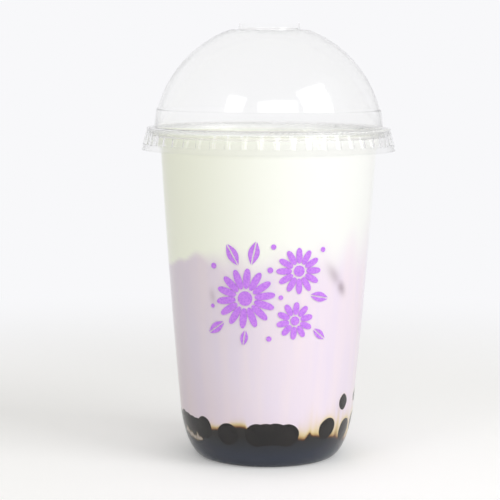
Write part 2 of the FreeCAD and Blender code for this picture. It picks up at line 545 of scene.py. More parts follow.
def read(tree: Tree, attribute: str) -> Socket:
    """The socket of a value that is stored on the mesh.

    Args:
        tree: The material's nodes.
        attribute: The value's name.

    Returns:
        The socket that puts the value out.
    """
    node = tree.nodes.new("ShaderNodeAttribute")
    node.attribute_name = attribute
    return node.outputs["Fac"]


def read_place(tree: Tree) -> dict[str, Socket]:
    """The sockets of a spot's place on the piece, by axis.

    Args:
        tree: The material's nodes.

    Returns:
        The socket of each of X, Y and Z.
    """
    place = tree.nodes.new("ShaderNodeTexCoord")
    parts = tree.nodes.new("ShaderNodeSeparateXYZ")
    feed(tree, parts.inputs[0], place.outputs["Object"])
    return {axis: parts.outputs[axis] for axis in "XYZ"}


@dataclass(frozen=True)
class ClearPlastic:
    """Thin clear plastic, which lamps reach through, so that what it holds is lit.

    From film_bottom up to film_top it takes the film's roughness and tint in place of its own.
    Towards its edges, where it turns from the view, its colour greys: painted shade for the darker
    room that glancing rays would see.
    """

    name: str
    tint: Colour = (1.0, 1.0, 0.998)
    # Painted shade: the grey that the plastic turns towards its edges, and how soon it turns it
    edge_shade: Colour = (0.88, 0.88, 0.87)
    edge_shade_blend: float = 0.28
    ior: float = 1.49
    roughness: float = 0.02
    film_roughness: float = 0.02
    film_tint: Colour = (1.0, 1.0, 0.998)
    film_bottom: float = 124.0 * MM
    film_top: float = 127.0 * MM
    ripple: float = 0.02
    ripple_height: float = 1.0 * MM
    ripple_scale: Scale = (90.0, 90.0, 60.0)

    def build(self) -> bpy.types.Material:
        """Make the material.

        Returns:
            The material.
        """
        material, shader, output = new_material(self.name)
        tree = material.node_tree
        # Painted shade: grey towards the edges, where the surface turns from the view
        facing = tree.nodes.new("ShaderNodeLayerWeight")
        feed_all(tree, facing, {"Blend": self.edge_shade_blend})
        edge = add_mix(tree, facing.outputs["Facing"], self.tint, self.edge_shade)
        feed_all(tree, shader, {
            "Base Color": add_mix(tree, self.add_film(tree, 0.0, 1.0), edge, self.film_tint),
            "Roughness": self.add_film(tree, self.roughness, self.film_roughness),
            "Transmission Weight": 1.0,
            "IOR": self.ior,
            "Normal": add_bump(tree, self.ripple_scale, self.ripple, self.ripple_height),
        })
        rays = tree.nodes.new("ShaderNodeLightPath")
        lighting = add_math(tree, "MAXIMUM", rays.outputs["Is Shadow Ray"], rays.outputs["Is Diffuse Ray"])
        mix_shaders(tree, output, lighting, shader, tree.nodes.new("ShaderNodeBsdfTransparent"))
        return material

    def add_film(self, tree: Tree, below: float, above: float) -> Socket:
        """Place a change from one value to another where the film starts.

        Args:
            tree: The material's nodes.
            below: The value under the film.
            above: The value on the film.

        Returns:
            The socket that puts the value out.
        """
        height = read_place(tree)["Z"]
        return add_ramp(tree, height, self.film_bottom, self.film_top, below, above, soft=True)


@dataclass(frozen=True)
class Drink:
    """Cream over lilac milk over dark syrup, which run into each other.

    Cream and milk each change from a left colour to a right one, which is painted shade: greener
    cream and darker milk on the left, away from the key lamp. The milk has faint upright streaks,
    and is tinted darker and warmer low on the left. The stain is a run of tints over the milk, each
    with the share of stain where it is reached, up to the share at which syrup covers all. Towards
    the bottom the syrup turns bluish, as a painted reflection.
    """

    name: str
    # Painted shade: each colour is shaded on the left and lit on the right, greener cream and darker milk in
    # the shade
    cream_shaded_left: Colour = (0.965, 0.995, 0.825)
    cream_lit_right: Colour = (0.92, 0.925, 0.90)
    milk_shaded_left: Colour = (0.775, 0.70, 0.775)
    milk_lit_right: Colour = (0.89, 0.79, 0.89)
    # Where the painted shade starts on the left and where the lit side is reached on the right
    left: float = -42.0 * MM
    right: float = 20.0 * MM
    lilac: Colour = (0.95, 0.945, 0.98)
    beige: Colour = (1.0, 0.985, 0.96)
    streak_scale: Scale = (140.0, 140.0, 12.0)
    foot_tint: Colour = (0.955, 0.915, 0.895)
    foot_top: float = 55.0 * MM
    foot_bottom: float = 15.0 * MM
    wisp: Colour = (0.36, 0.28, 0.33)
    stain: tuple[tuple[float, Colour], ...] = (
        (0.12, (0.965, 0.935, 0.80)), (0.30, (0.89, 0.84, 0.50)), (0.50, (0.75, 0.66, 0.28)),
        (0.68, (0.50, 0.34, 0.12)), (0.80, (0.14, 0.055, 0.015)))
    covered: float = 0.96
    syrup: Colour = (0.017, 0.0145, 0.0135)
    # Painted reflection: the syrup turns this blue from the first height down to the second, for the room
    # reflected in the base
    reflected_blue: Colour = (0.030, 0.038, 0.062)
    reflection_top: float = 13.0 * MM
    reflection_bottom: float = 4.0 * MM
    roughness: float = 0.5
    specular: float = 0.15

    def build(self) -> bpy.types.Material:
        """Make the material.

        Returns:
            The material.
        """
        material, shader, _ = new_material(self.name)
        tree = material.node_tree
        place = read_place(tree)
        # Painted shade: the share from the shaded left to the lit right, along X
        across = add_ramp(tree, place["X"], self.left, self.right)
        cream = add_mix(tree, across, self.cream_shaded_left, self.cream_lit_right)
        milk = add_mix(tree, across, self.milk_shaded_left, self.milk_lit_right)
        streaks = add_mix(tree, add_mottle(tree, self.streak_scale), self.lilac, self.beige)
        milk = add_mix(tree, 1.0, milk, streaks, "MULTIPLY")
        low = add_ramp(tree, place["Z"], self.foot_top, self.foot_bottom)
        low_left = add_math(tree, "SUBTRACT", low, across, clamp=True)
        milk = add_mix(tree, low_left, milk, add_mix(tree, 1.0, milk, self.foot_tint, "MULTIPLY"))
        body = add_mix(tree, read(tree, "cream"), milk, cream)
        marked = add_mix(tree, read(tree, "wisp"), body, self.wisp)
        # Painted reflection: the syrup turns bluish towards the bottom
        depth = add_ramp(tree, place["Z"], self.reflection_top, self.reflection_bottom)
        syrup = add_mix(tree, depth, self.syrup, self.reflected_blue)
        feed_all(tree, shader, {
            "Base Color": self.add_stain(tree, marked, syrup),
            "Roughness": self.roughness,
            "Specular IOR Level": self.specular,
        })
        return material

    def add_stain(self, tree: Tree, under: Socket, syrup: Socket) -> Socket:
        """Tint the milk from pale gold through amber, then cover it with dark syrup.

        Args:
            tree: The material's nodes.
            under: The colour where no syrup has reached.
            syrup: The colour where all is syrup.

        Returns:
            The socket of the stained colour.
        """
        share = read(tree, "stain")
        tint = add_stops(tree, share, 0.0, WHITE, self.stain)
        tinted = add_mix(tree, 1.0, under, tint, "MULTIPLY")
        darkest = self.stain[-1][0]
        return add_mix(tree, add_ramp(tree, share, darkest, self.covered), tinted, syrup)


@dataclass(frozen=True)
class Tapioca:
    """Cooked tapioca, nearly black, glossy with syrup."""

    name: str
    dark: Colour = (0.006, 0.005, 0.005)
    pale: Colour = (0.014, 0.011, 0.010)
    cloud_scale: Scale = (160.0, 160.0, 160.0)
    sheen_scale: Scale = (300.0, 300.0, 300.0)
    roughness: Pair = (0.25, 0.45)
    specular: float = 0.10

    def build(self) -> bpy.types.Material:
        """Make the material.

        Returns:
            The material.
        """
        material, shader, _ = new_material(self.name)
        tree = material.node_tree
        feed_all(tree, shader, {
            "Base Color": add_mix(tree, add_mottle(tree, self.cloud_scale), self.dark, self.pale),
            "Roughness": add_mottle(tree, self.sheen_scale, *self.roughness),
            "Specular IOR Level": self.specular,
        })
        return material


@dataclass(frozen=True)
class StreakedMilk:
    """A thin run of milk, browner towards its edge, where it thins out over the syrup."""

    name: str
    pale: Colour = (0.46, 0.40, 0.35)
    pale_until: float = 0.45
    browner: tuple[tuple[float, Colour], ...] = ((0.75, (0.22, 0.17, 0.10)), (1.0, (0.025, 0.020, 0.016)))
    sheen_scale: Scale = (300.0, 300.0, 300.0)
    roughness: Pair = (0.45, 0.6)
    specular: float = 0.15

    def build(self) -> bpy.types.Material:
        """Make the material.

        Returns:
            The material.
        """
        material, shader, _ = new_material(self.name)
        tree = material.node_tree
        feed_all(tree, shader, {
            "Base Color": add_stops(tree, read(tree, "edge"), self.pale_until, self.pale, self.browner),
            "Roughness": add_mottle(tree, self.sheen_scale, *self.roughness),
            "Specular IOR Level": self.specular,
        })
        return material


@dataclass(frozen=True)
class Froth:
    """Wet milk foam."""

    name: str
    colour: Colour = (0.92, 0.92, 0.84)
    shade: Colour = (0.86, 0.87, 0.76)
    cloud_scale: Scale = (120.0, 120.0, 120.0)
    grain: float = 0.25
    grain_height: float = 0.3 * MM
    grain_scale: Scale = (1500.0, 1500.0, 1500.0)
    roughness: float = 0.35

    def build(self) -> bpy.types.Material:
        """Make the material.

        Returns:
            The material.
        """
        material, shader, _ = new_material(self.name)
        tree = material.node_tree
        feed_all(tree, shader, {
            "Base Color": add_mix(tree, add_mottle(tree, self.cloud_scale), self.shade, self.colour),
            "Normal": add_bump(tree, self.grain_scale, self.grain, self.grain_height),
            "Roughness": self.roughness,
        })
        return material


@dataclass(frozen=True)
class PrintInk:
    """Screen-printed ink, slightly uneven over the plastic."""

    name: str
    thick: Colour = (0.51, 0.17, 0.84)
    thin: Colour = (0.65, 0.27, 0.91)
    grain_scale: Scale = (1400.0, 1400.0, 1400.0)
    sheen_scale: Scale = (700.0, 700.0, 700.0)
    roughness: Pair = (0.35, 0.55)

    def build(self) -> bpy.types.Material:
        """Make the material.

        Returns:
            The material.
        """
        material, shader, _ = new_material(self.name)
        tree = material.node_tree
        feed_all(tree, shader, {
            "Base Color": add_mix(tree, add_mottle(tree, self.grain_scale), self.thick, self.thin),
            "Roughness": add_mottle(tree, self.sheen_scale, *self.roughness),
        })
        return material


# ---- The cup's form ----------------------------------------------------------------------

@dataclass(frozen=True)
class CupForm:
    """The cup's outer form, from which all that it holds or wears takes its place."""

    shoulder_radius: float = 43.9 * MM
    shoulder_height: float = 123.5 * MM
    top_radius: float = 42.1 * MM
    top_height: float = 120.5 * MM
    foot_radius: float = 34.4 * MM
    foot_height: float = 20.7 * MM
    bow: float = 0.4 * MM
    fullness: float = 0.58
    ring_radius: float = 25.4 * MM
    ring_width: float = 1.8 * MM
    push_up: float = 3.0 * MM
    push_up_slope: float = 1.2 * MM
    neck_radius: float = 44.4 * MM
    neck_height: float = 127.7 * MM
    corner_steps: int = 40
    wall_steps: int = 90
    crowding: float = 1.3

    @lru_cache(maxsize=None)
    def outline(self, inset: float) -> tuple[Pair, ...]:
        """Half section from the hollow in the base to the neck, moved inwards.

        Args:
            inset: How far inside the cup's outer face the outline runs.

        Returns:
            Radius and height of each spot.
        """
        chord = Vector((self.foot_radius - self.top_radius, self.foot_height - self.top_height))
        outward = Vector((-chord.y, chord.x)).normalized()
        lean = math.atan2(-chord.x, -chord.y) + math.atan(4 * self.bow / chord.length)
        top = Vector((self.top_radius, self.top_height)) - outward * inset
        foot = Vector((self.foot_radius, self.foot_height)) - outward * inset
        bulge = (top + foot) / 2 + outward * 2 * self.bow
        rest = Vector((self.ring_radius, inset))
        turn = Vector((foot.x - (foot.y - inset) * math.tan(lean), inset))
        lower = foot + (turn - foot) * self.fullness
        toe = rest + (turn - rest) * self.fullness
        step = self.ring_radius - self.ring_width + inset
        spots = [Vector((step - self.push_up_slope, self.push_up + inset)), Vector((step, inset)), rest]
        for i in range(1, self.corner_steps + 1):
            t = i / self.corner_steps
            spots.append(rest * (1 - t) ** 3 + toe * 3 * t * (1 - t) ** 2
                         + lower * 3 * t * t * (1 - t) + foot * t ** 3)
        for i in range(1, self.wall_steps + 1):
            t = (i / self.wall_steps) ** self.crowding
            spots.append(foot * (1 - t) ** 2 + bulge * 2 * t * (1 - t) + top * t * t)
        spots.append(Vector((self.shoulder_radius - inset, self.shoulder_height)))
        spots.append(Vector((self.neck_radius - inset, self.neck_height)))
        return tuple((spot.x, spot.y) for spot in spots)

    @lru_cache(maxsize=None)
    def side(self, inset: float) -> tuple[list[float], list[float]]:
        """Radii and heights of the outline from the ring that it stands on upwards."""
        spots = self.outline(inset)[2:]
        return [spot[0] for spot in spots], [spot[1] for spot in spots]

    def radius_at(self, height: float, inset: float) -> float:
        """Radius of the moved outline at a height above the base.

        Args:
            height: The height.
            inset: How far inside the cup's outer face the outline runs.

        Returns:
            The radius.
        """
        radii, heights = self.side(inset)
        above = min(max(bisect.bisect_left(heights, height), 1), len(heights) - 1)
        low, high = heights[above - 1], heights[above]
        share = min(max((height - low) / (high - low), 0.0), 1.0)
        return radii[above - 1] + (radii[above] - radii[above - 1]) * share

    def place(self, bearing: float, height: float, inset: float) -> Vector:
        """A place on the moved outline, by bearing and height.

        Args:
            bearing: Where on the wall, in degrees.
            height: Where on the wall.
            inset: How far inside the cup's outer face the outline runs.

        Returns:
            The place.
        """
        radius = self.radius_at(height, inset)
        turn = math.radians(bearing)
        return Vector((radius * math.cos(turn), radius * math.sin(turn), height))

    def axes(self, bearing: float, height: float) -> tuple[Vector, Vector, Vector]:
        """Directions along the wall level and upwards, and straight out of it.

        Args:
            bearing: Where on the wall.
            height: Where on the wall.

        Returns:
            Three unit vectors.
        """
        span = 0.5 * MM
        up = (self.place(bearing, height + span, 0) - self.place(bearing, height - span, 0)).normalized()
        turn = math.radians(bearing)
        level = Vector((-math.sin(turn), math.cos(turn), 0))
        return level, up, level.cross(up)

    def keep_in(self, mesh: bpy.types.Mesh, inset: float) -> None:
        """Press whatever of a mesh reaches past the moved outline flat against it.

        Args:
            mesh: The mesh.
            inset: How far inside the cup's outer face the outline runs.
        """
        floor = self.push_up + inset
        hollow = self.ring_radius - self.ring_width - self.push_up_slope
        for vert in mesh.vertices:
            out = math.hypot(vert.co.x, vert.co.y)
            if out < hollow:
                vert.co.z = max(vert.co.z, floor)
            limit = self.radius_at(vert.co.z, inset)
            if out > limit:
                vert.co.x *= limit / out
                vert.co.y *= limit / out


def wrapped(piece: Piece, cup: CupForm, middle: float, inset: float) -> None:
    """Lay a flat piece, drawn in X and Y, round the cup's front.

    Args:
        piece: The piece, whose X runs to the right and Y upwards.
        cup: The form that it lies on.
        middle: Height on the cup of the piece's origin.
        inset: How far inside the cup's outer face it lies, where less than 0 is outside.
    """
    for vert in piece.data.vertices:
        height = middle + vert.co.y
        bearing = FRONT + math.degrees(vert.co.x / cup.radius_at(height, 0))
        _, _, out = cup.axes(bearing, height)
        vert.co = cup.place(bearing, height, inset) + out * vert.co.z


# ---- The drink ---------------------------------------------------------------------------

@dataclass(frozen=True)
class Pearl:
    """A tapioca pearl that shows at the wall.

    Its bearing and lean are in degrees, and its height and the half width and half height of the
    patch that touches the wall in millimetres. Its stain is how strong the gold round the patch
    is, its reach how far that goes in millimetres, and its point how sharp the patch's ends are.
    """

    bearing: float
    height: float
    half_width: float
    half_height: float
    lean: float = 0.0
    stain: float = 0.0
    reach: float = 0.2
    point: float = 0.0


HEAPED_PEARLS = (
    Pearl(173.0, 14.6, 4.4, 4.4),
    Pearl(-174.0, 15.0, 4.6, 4.5),
    Pearl(-162.0, 15.1, 4.5, 4.3),
    Pearl(-155.0, 14.6, 4.2, 4.2),
    Pearl(-148.5, 14.1, 4.7, 4.2, -6.0),
    Pearl(-142.5, 13.9, 4.0, 4.2),
    Pearl(-136.0, 14.9, 3.7, 4.4),
    Pearl(-116.6, 13.6, 4.1, 4.3),
    Pearl(-96.3, 13.9, 4.3, 4.4),
    Pearl(-91.0, 14.2, 4.7, 4.35),
    Pearl(-84.0, 14.3, 4.7, 4.35),
    Pearl(-76.6, 13.9, 4.5, 4.4),
)

FREE_PEARLS = {
    "loose_pearl_1": Pearl(-46.3, 15.0, 3.8, 4.15, -34.0, 0.42, 1.0),
    "loose_pearl_2": Pearl(-25.6, 12.8, 3.8, 4.3, -14.0, 0.50, 1.2),
    "loose_pearl_3": Pearl(-8.0, 14.6, 4.0, 3.9, 0.0, 0.50, 1.5),
    "loose_pearl_4": Pearl(-31.4, 24.3, 2.8, 3.15, -2.0, 0.08, 0.5, 0.6),
    "loose_pearl_5": Pearl(-9.0, 24.8, 3.0, 2.6, 0.0, 0.10, 0.5, 0.4),
}


@dataclass(frozen=True)
class Wisp:
    """A soft dark wisp of tea in the milk: its place and lean in degrees, its sizes in mm."""

    bearing: float
    height: float
    lean: float
    half_width: float
    half_length: float
    strength: float


WISPS = (
    Wisp(-49.6, 75.0, -40.0, 2.1, 5.0, 0.52),
    Wisp(-43.4, 70.0, -36.0, 1.8, 3.0, 0.80),
    Wisp(-122.8, 67.0, -8.0, 1.3, 2.5, 0.40),
    Wisp(-35.8, 22.8, 0.0, 2.0, 3.2, 0.15),
)


@dataclass
class Tapiocas:
    """The heap of pearls round the cup's foot, and the pearls that lie loose in the milk."""

    cup: CupForm
    finish: bpy.types.Material
    inset: float = 0.14 * MM
    # Half of the thickness of a pearl at the wall, and how much of it the wall presses flat
    depth: float = 4.3 * MM
    press: float = 1.8 * MM
    # Dents: how deep, as a share, how often they repeat, and how far apart two pearls' dents are taken
    dent: float = 0.035
    dent_scale: float = 1.3
    dent_step: Pair = (3.1, 1.7)
    back_dents: int = 10
    free_dents: int = 40
    crease: float = 60.0
    # How finely a pearl at the wall and one in the foot are divided
    fine: int = 5
    coarse: int = 3
    # The bearings between which pearls at the back are drawn, and the ranges that they are drawn
    # from, of which the first is in degrees and the rest in mm
    back: Pair = (16.0, 160.0)
    back_steps: Pair = (8.0, 18.0)
    back_heights: Pair = (12.6, 16.2)
    back_half_widths: Pair = (3.7, 4.9)
    back_half_heights: Pair = (3.8, 4.7)
    # A pearl in the foot, and the shares of its radius from which each is drawn
    radius: float = 4.3 * MM
    radius_shares: Pair = (0.93, 1.04)
    # Radius and height of each ring of pearls on the base
    rings: tuple[Pair, ...] = ((25.7 * MM, 5.9 * MM), (18.0 * MM, 7.0 * MM), (9.6 * MM, 7.1 * MM))
    # How far apart they lie, in their radii, how far they shift, as a share of that, and lift, in mm
    spacing: float = 2.05
    ring_shift: float = 0.12
    ring_lifts: Pair = (-0.2, 0.4)
    seed: int = 7

    def build(self) -> None:
        """Make all the pearls."""
        fine = self.start("pearl_start", self.fine)
        coarse = self.start("pearl_start_small", self.coarse)
        heap = [self.seated(fine, pearl, number) for number, pearl in enumerate(HEAPED_PEARLS)]
        draw = random.Random(self.seed)
        heap += self.at_the_back(fine, draw)
        heap += self.in_the_foot(coarse, draw)
        self.finish_piece(joined(heap, "heaped_pearls"), "pearl_bed")
        for number, (node, pearl) in enumerate(FREE_PEARLS.items(), 1):
            piece = self.seated(fine, pearl, self.free_dents + number)
            piece.name = f"free_pearl_{number}"
            self.finish_piece(piece, node)
        remove(fine)
        remove(coarse)

    def start(self, name: str, fineness: int) -> Piece:
        """A round start for pearls, of unit radius.

        Args:
            name: Its name.
            fineness: How finely it is divided.

        Returns:
            The start.
        """
        deselect_all()
        bpy.ops.mesh.primitive_ico_sphere_add(subdivisions=fineness, radius=1.0)
        bpy.context.active_object.name = name
        return bpy.context.active_object

    def seated(self, start: Piece, pearl: Pearl, number: int) -> Piece:
        """Shape one pearl and press it against the wall.

        Args:
            start: The round start that is copied.
            pearl: Where it touches the wall and how large the touching patch is.
            number: Sets its dents apart from the other pearls'.

        Returns:
            The pearl.
        """
        piece = copied(start, "pearl")
        patch = math.sqrt(1 - (1 - self.press / self.depth) ** 2)
        size = Matrix.Diagonal((pearl.half_width * MM / patch, pearl.half_height * MM / patch, self.depth))
        level, up, out = self.cup.axes(pearl.bearing, pearl.height * MM)
        turn = Matrix((level, up, out)).transposed() @ Matrix.Rotation(math.radians(pearl.lean), 3, "Z")
        spot = self.cup.place(pearl.bearing, pearl.height * MM, self.inset) - out * (self.depth - self.press)
        offset = Vector((number * self.dent_step[0], number * self.dent_step[1], 0))
        for vert in piece.data.vertices:
            dent = 1 + self.dent * noise.noise(vert.co * self.dent_scale + offset)
            vert.co.x *= 1 - pearl.point * (1 - math.sqrt(max(1 - vert.co.y ** 2, 0.0)))
            vert.co = turn @ size @ (vert.co * dent) + spot
        self.cup.keep_in(piece.data, self.inset)
        return piece

    def at_the_back(self, start: Piece, draw: random.Random) -> list[Piece]:
        """The uneven row of heaped pearls at the back.

        Args:
            start: The round start that is copied.
            draw: The source of what differs from pearl to pearl.

        Returns:
            The pearls.
        """
        pieces = []
        bearing, end = self.back
        while bearing < end:
            pearl = Pearl(bearing, draw.uniform(*self.back_heights), draw.uniform(*self.back_half_widths),
                          draw.uniform(*self.back_half_heights))
            pieces.append(self.seated(start, pearl, len(pieces) + self.back_dents))
            bearing += draw.uniform(*self.back_steps)
        return pieces

    def in_the_foot(self, start: Piece, draw: random.Random) -> list[Piece]:
        """The pearls that rest on the base, in rings, and show through it from below.

        Args:
            start: The round start that is copied.
            draw: The source of what differs from pearl to pearl.

        Returns:
            The pearls.
        """
        pieces = []
        for ring, height in self.rings:
            count = int(2 * math.pi * ring / (self.spacing * self.radius))
            for i in range(count):
                turn = 2 * math.pi * (i + draw.uniform(-self.ring_shift, self.ring_shift)) / count
                piece = copied(start, "pearl")
                lift = draw.uniform(*self.ring_lifts) * MM
                spot = Vector((ring * math.cos(turn), ring * math.sin(turn), height + lift))
                size = self.radius * draw.uniform(*self.radius_shares)
                for vert in piece.data.vertices:
                    vert.co = vert.co * size + spot
                self.cup.keep_in(piece.data, self.inset)
                pieces.append(piece)
        return pieces

    def finish_piece(self, piece: Piece, node: str) -> None:
        """Smooth a piece and hand it over for the node that it stands for."""
        smooth(piece, self.crease)
        hand_over(piece, self.finish, "tapioca", node)


@dataclass
class DrinkLayers:
    """Cream, milk and syrup, as pieces that reach just into the cup's wall."""

    cup: CupForm
    finish: bpy.types.Material
    bite: float = 0.22 * MM
    level: float = 126.5 * MM
    meniscus: float = 0.7 * MM
    # Distance in from the rim, and the share of the meniscus's height there
    meniscus_form: tuple[Pair, ...] = ((0.5 * MM, 0.45), (1.2 * MM, 0.12), (2.4 * MM, 0.0), (12 * MM, 0.0))
    segments: int = 384
    # Where the cuts between the layers cross the axis, and how steeply they rise towards +X
    layer_height: float = 84.0 * MM
    layer_tilt: float = 0.15
    bed_height: float = 11.5 * MM
    bed_tilt: float = -0.03
    # Bearing, height of the middle of the change from milk to cream, and how tall the change is, in mm
    layer_line: tuple[tuple[float, float, float], ...] = (
        (-180.0, 76.5, 2.0), (-160.0, 77.0, 2.0), (-145.0, 79.0, 2.5), (-132.0, 83.0, 3.5),
        (-122.0, 82.0, 8.0), (-110.0, 78.5, 14.0), (-95.0, 76.5, 16.0), (-75.0, 79.0, 18.0),
        (-55.0, 83.0, 22.0), (-33.0, 86.0, 26.0), (0.0, 86.0, 26.0), (40.0, 86.0, 14.0), (90.0, 83.0, 6.0),
        (140.0, 79.0, 4.0), (180.0, 76.5, 2.0))
    # Clouds in that change: repeats in a metre, and height, as a least one in mm and a share of it
    cloud_scale: Scale = (90.0, 90.0, 35.0)
    cloud_height: float = 1.0
    cloud_share: float = 0.35
    # Bearing, height of the dark syrup at the wall, and reach of the gold stain above it, in mm
    syrup_line: tuple[tuple[float, float, float], ...] = (
        (-180.0, 17.0, 0.3), (-136.0, 17.0, 0.2), (-130.0, 15.4, 0.9), (-127.5, 15.5, 0.85),
        (-124.5, 15.5, 0.6), (-121.0, 16.4, 0.3), (-111.0, 17.5, 0.7), (-107.4, 17.7, 0.85),
        (-104.6, 17.5, 0.8), (-101.5, 15.9, 0.3), (-93.0, 17.6, 0.15), (-77.0, 17.4, 0.15),
        (-70.5, 14.0, 0.8), (-67.7, 12.5, 2.4), (-64.0, 12.0, 1.5), (-61.6, 13.4, 1.1),
        (-60.4, 14.4, 1.1), (-59.2, 13.2, 1.3), (-56.5, 12.5, 1.4), (-50.0, 11.9, 1.5),
        (-39.0, 10.6, 3.4), (-30.0, 9.2, 4.4), (-16.0, 7.0, 5.0), (-2.0, 6.0, 5.0), (8.0, 11.0, 4.0),
        (16.0, 15.0, 0.5), (48.0, 16.4, 0.3), (71.0, 13.6, 0.8), (96.0, 16.6, 0.3), (128.0, 14.2, 0.7),
        (150.0, 16.0, 0.4), (180.0, 17.0, 0.3))
    # Nothing is stained above this height, in mm
    stain_top: float = 45.0
    stain_strength: float = 0.68
    # Upright streaks that vary the reach, as repeats in a degree and in a mm, and how strongly
    streak_scale: Pair = (0.35, 0.06)
    streak_share: float = 0.6
    # The wide pale haze of syrup: its strength, its reach in mm, how far streaks change that, and
    # the bearings where it starts, where it is full, up to where it is full, and where it ends
    haze: float = 0.24
    haze_reach: float = 7.0
    haze_streak: float = 3.0
    haze_bearings: tuple[float, float, float, float] = (-73.0, -52.0, 4.0, 18.0)
    # How far below its line the syrup is wholly dark, in mm, and how much further that becomes
    # as the stain's reach grows from the first of two values to the second
    edge_depth: float = 0.8
    soft_edge_depth: float = 2.7
    soft_reach: Pair = (0.4, 0.8)
    # How far off in degrees a pearl leaves a mark, and the shares of its patch from and up to which
    # the dark fades
    pearl_span: float = 25.0
    pearl_edge: Pair = (0.7, 1.0)

    def build(self) -> None:
        """Make the layers."""
        whole = turned("drink_body", self.outline(), self.segments)
        milk_top = (Vector((0, 0, self.layer_height)), Vector((-self.layer_tilt, 0, 1)))
        bed_top = (Vector((0, 0, self.bed_height)), Vector((-self.bed_tilt, 0, 1)))
        cream = cut(copied(whole, "cream_drink"), *milk_top)
        milk = cut(cut(copied(whole, "taro_milk"), *milk_top, keep_below=True), *bed_top)
        syrup = cut(copied(whole, "pearl_syrup"), *bed_top, keep_below=True)
        remove(whole)
        for piece, node, slot in ((cream, "cream_layer", "cream"), (milk, "taro_milk_layer", "taro_milk"),
                                  (syrup, "pearl_bed", "tapioca")):
            paint(piece, "cream", self.cream_share)
            paint(piece, "stain", self.stain_share)
            paint(piece, "wisp", self.wisp_share)
            smooth(piece)
            hand_over(piece, self.finish, slot, node)

    def outline(self) -> list[Pair]:
        """Half section of all the drink, with its edge drawn up at the wall.

        Returns:
            Radius and height of each spot.
        """
        spots = [spot for spot in self.cup.outline(self.bite) if spot[1] < self.level]
        rim = self.cup.radius_at(self.level + self.meniscus, self.bite)
        spots.append((rim, self.level + self.meniscus))
        for inwards, share in self.meniscus_form:
            spots.append((rim - inwards, self.level + self.meniscus * share))
        spots.append((0.0, self.level))
        return spots

    def cream_share(self, spot: Vector) -> float:
        """How much of the colour at a place is cream, from 0 to 1.

        Args:
            spot: The place.

        Returns:
            The share.
        """
        middle, tall = along(self.layer_line, bearing_of(spot))
        cloud = noise.noise(spot * Vector(self.cloud_scale))
        height = spot.z / MM + cloud * (self.cloud_height + self.cloud_share * tall)
        return blend(middle - tall / 2, middle + tall / 2, height)

    def stain_share(self, spot: Vector) -> float:
        """How far syrup has stained the milk at a place, from 0 for none to 1 for dark.

        Args:
            spot: The place.

        Returns:
            The share, which may be more than 1 where all is syrup.
        """
        height = spot.z / MM
        if height > self.stain_top:
            return 0.0
        bearing = bearing_of(spot)
        share = self.line_stain(bearing, height)
        around = math.radians(1) * self.cup.radius_at(spot.z, self.bite) / MM
        for pearl in (*HEAPED_PEARLS, *FREE_PEARLS.values()):
            turn = (bearing - pearl.bearing + 180) % 360 - 180
            if abs(turn) <= self.pearl_span:
                share = max(share, self.pearl_stain(pearl, turn * around, height - pearl.height))
        return share

    def line_stain(self, bearing: float, height: float) -> float:
        """The stain that the syrup at the bottom leaves at the wall, and the syrup itself.

        Args:
            bearing: Where on the wall, in degrees.
            height: Where on the wall, in mm.

        Returns:
            The share of stain there, which may be more than 1.
        """
        line, reach = along(self.syrup_line, bearing)
        streak = noise.noise(Vector((bearing * self.streak_scale[0], height * self.streak_scale[1], 5.0)))
        reach *= 1 + self.streak_share * streak
        over = max(height - line, 0.0)
        start, full, full_until, end = self.haze_bearings
        haze = self.haze * blend(start, full, bearing) * (1 - blend(full_until, end, bearing))
        haze *= math.exp(-(over / (self.haze_reach + self.haze_streak * streak)) ** 2)
        depth = self.edge_depth + self.soft_edge_depth * blend(*self.soft_reach, reach)
        dark = 1.0 - blend(-depth, 0.0, height - line)
        return self.stain_strength * math.exp(-over / reach) + haze + dark

    def pearl_stain(self, pearl: Pearl, across: float, up: float) -> float:
        """The dark patch that a pearl makes at the wall, and the gold round it.

        Args:
            pearl: The pearl.
            across: How far to the right of its middle a spot lies, in mm.
            up: How far above its middle the spot lies, in mm.

        Returns:
            The share of stain there.
        """
        lean = math.radians(pearl.lean)
        along_width = across * math.cos(lean) + up * math.sin(lean)
        along_height = up * math.cos(lean) - across * math.sin(lean)
        far = math.hypot(along_width / pearl.half_width, along_height / pearl.half_height)
        beyond = max(far - 1, 0) * min(pearl.half_width, pearl.half_height)
        return max(1 - blend(*self.pearl_edge, far), pearl.stain * math.exp(-beyond / pearl.reach))

    def wisp_share(self, spot: Vector) -> float:
        """How much tea shows through the milk at a place, as small soft wisps.

        Args:
            spot: The place.

        Returns:
            The share.
        """
        bearing = bearing_of(spot)
        height = spot.z / MM
        share = 0.0
        for wisp in WISPS:
            turn = math.radians(bearing - wisp.bearing) * self.cup.radius_at(spot.z, 0) / MM
            up = height - wisp.height
            tilt = math.radians(wisp.lean)
            across = (turn * math.cos(tilt) - up * math.sin(tilt)) / wisp.half_width
            rise = (up * math.cos(tilt) + turn * math.sin(tilt)) / wisp.half_length
            share = max(share, wisp.strength * math.exp(-across ** 2 - rise ** 2))
        return share


